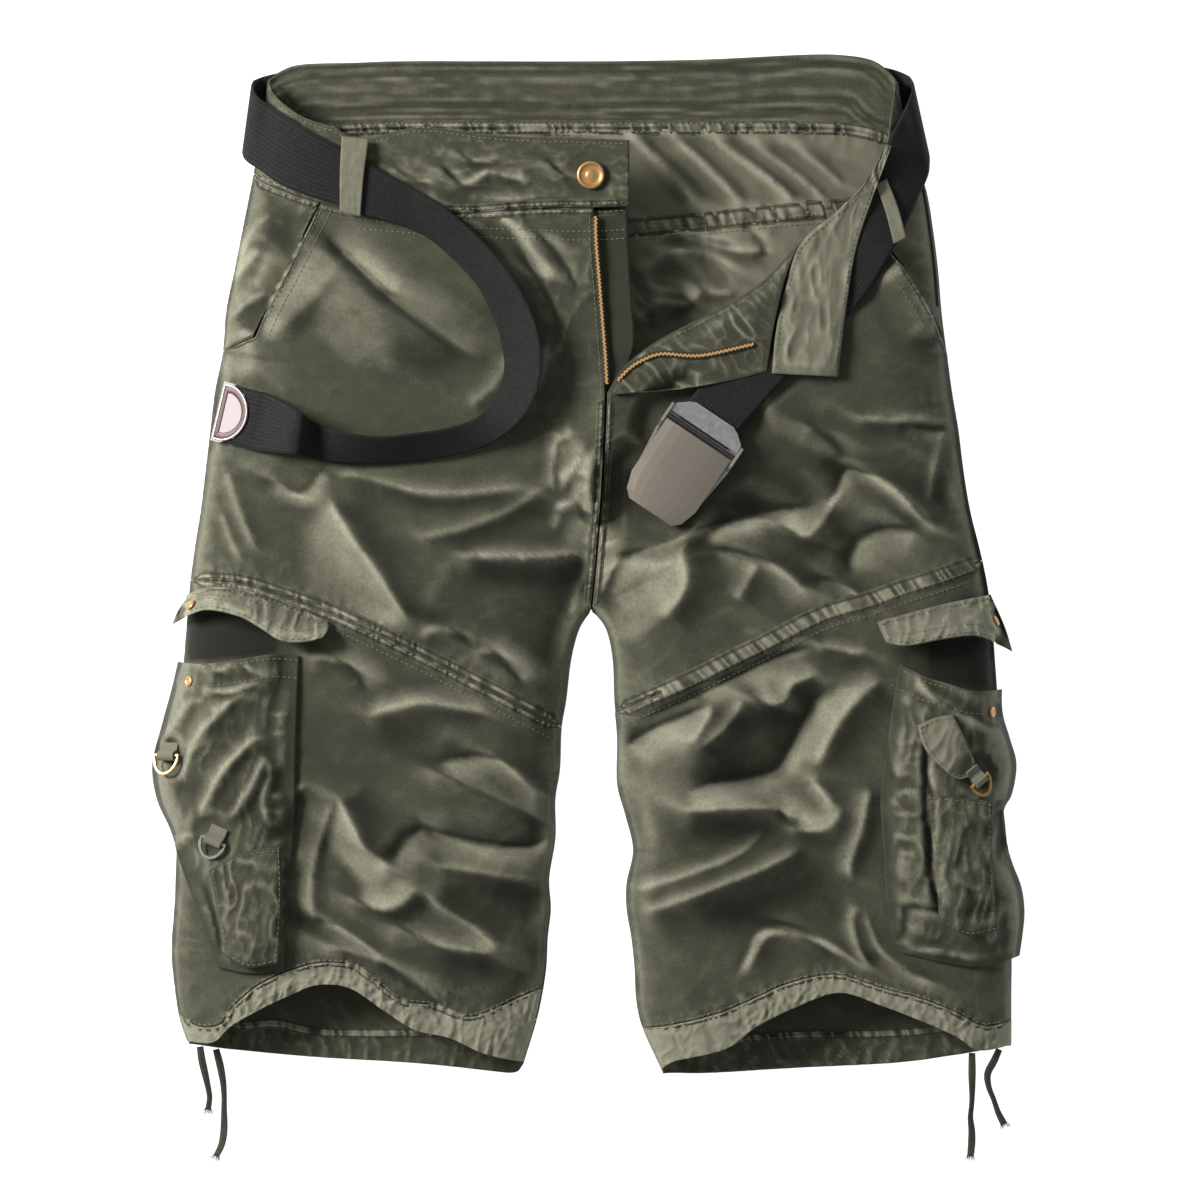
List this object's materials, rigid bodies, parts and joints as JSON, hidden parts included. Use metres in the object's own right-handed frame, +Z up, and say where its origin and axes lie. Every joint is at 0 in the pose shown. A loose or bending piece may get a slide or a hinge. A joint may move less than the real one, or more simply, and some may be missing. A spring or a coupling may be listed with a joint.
{
  "type": "belted cargo shorts",
  "caption": "Knee-length cotton cargo shorts laid flat on their back, waist open, with bellows pockets, drawstring hems and a webbing belt with a clamp buckle.",
  "frame": {"origin": "on the surface that the shorts lie on, below the middle of their outline, the free drawstring ends left out", "axes": "+Z up off the surface, +Y towards the waist, +X towards the wearer's left leg"},
  "size_m": [0.5426, 0.6885, 0.0603],
  "materials": {
    "olive_cotton": "washed twill, matte",
    "worn_olive_cotton": "washed twill, faded",
    "shaded_olive_cotton": "washed twill, matte",
    "black_webbing": "ribbed webbing, matte",
    "drawstring_tape": "woven tape, matte",
    "aged_brass": "worn",
    "bright_steel": "polished",
    "brushed_gunmetal": "brushed",
    "dark_steel": "blackened"
  },
  "bodies": {
    "garment": {"back_lower_left": "olive_cotton", "back_lower_right": "olive_cotton", "back_upper_left": "olive_cotton", "back_upper_right": "olive_cotton", "back_yoke": "olive_cotton", "belt_behind_waist": "black_webbing", "belt_buckle_run": "black_webbing", "belt_loop_back_left": "worn_olive_cotton", "belt_loop_back_middle": "worn_olive_cotton", "belt_loop_back_right": "worn_olive_cotton", "belt_loop_left": "worn_olive_cotton", "belt_loop_right": "worn_olive_cotton", "belt_tip": "bright_steel", "belt_tip_run": "black_webbing", "buckle_base": "bright_steel", "buckle_clamp": "bright_steel", "buckle_pin": "dark_steel", "cargo_flap_left": "worn_olive_cotton", "cargo_flap_right": "worn_olive_cotton", "cargo_pocket_left": "olive_cotton", "cargo_pocket_right": "olive_cotton", "d_ring_right_tab": "worn_olive_cotton", "drawstring_left_inner": "drawstring_tape", "drawstring_left_outer": "drawstring_tape", "drawstring_right_inner": "drawstring_tape", "drawstring_right_outer": "drawstring_tape", "fly_shield": "shaded_olive_cotton", "front_lower_left": "olive_cotton", "front_lower_right": "olive_cotton", "front_upper_left": "olive_cotton", "front_upper_right": "olive_cotton", "hem_back_left": "olive_cotton", "hem_back_right": "olive_cotton", "hem_front_left": "olive_cotton", "hem_front_right": "olive_cotton", "hip_panel_left": "olive_cotton", "hip_panel_right": "olive_cotton", "pocket_ring_left_tab": "worn_olive_cotton", "pocket_ring_right_tab": "worn_olive_cotton", "small_flap_left": "worn_olive_cotton", "small_pocket_left": "olive_cotton", "small_pocket_right": "olive_cotton", "snap_flap_left": "aged_brass", "snap_flap_right": "aged_brass", "snap_pocket_left": "aged_brass", "snap_pocket_right": "aged_brass", "turned_corner_left": "worn_olive_cotton", "waist_button": "aged_brass", "waistband_back": "olive_cotton", "waistband_left": "olive_cotton", "waistband_left_end": "worn_olive_cotton", "waistband_right": "olive_cotton", "zip_chain_left": "aged_brass", "zip_chain_right": "aged_brass"},
    "buckle_lid": {"buckle_cover": "brushed_gunmetal"},
    "ring_on_right_pocket": {"pocket_ring_right": "aged_brass"},
    "ring_on_right_leg": {"d_ring_right": "bright_steel"},
    "ring_on_left_pocket": {"pocket_ring_left": "aged_brass"}
  },
  "joints": [
    {"name": "buckle_lid_hinge", "type": "hinge", "parent": "garment", "child": "buckle_lid", "pos_m": [0.06935, 0.0784, 0.04989], "axis": [-0.8288, 0.5582, -0.0373], "range_deg": [0, 100]},
    {"name": "ring_right_pocket_hinge", "type": "hinge", "parent": "garment", "child": "ring_on_right_pocket", "pos_m": [-0.26079, -0.11865, 0.04005], "axis": [-0.9228, 0.0038, -0.3853], "range_deg": [0, 110]},
    {"name": "ring_right_leg_hinge", "type": "hinge", "parent": "garment", "child": "ring_on_right_leg", "pos_m": [-0.2312, -0.17092, 0.05113], "axis": [-0.9076, 0.3848, -0.1678], "range_deg": [0, 110]},
    {"name": "ring_left_pocket_hinge", "type": "hinge", "parent": "garment", "child": "ring_on_left_pocket", "pos_m": [0.24131, -0.13366, 0.05105], "axis": [-0.7341, -0.615, 0.2879], "range_deg": [0, 110]}
  ]
}
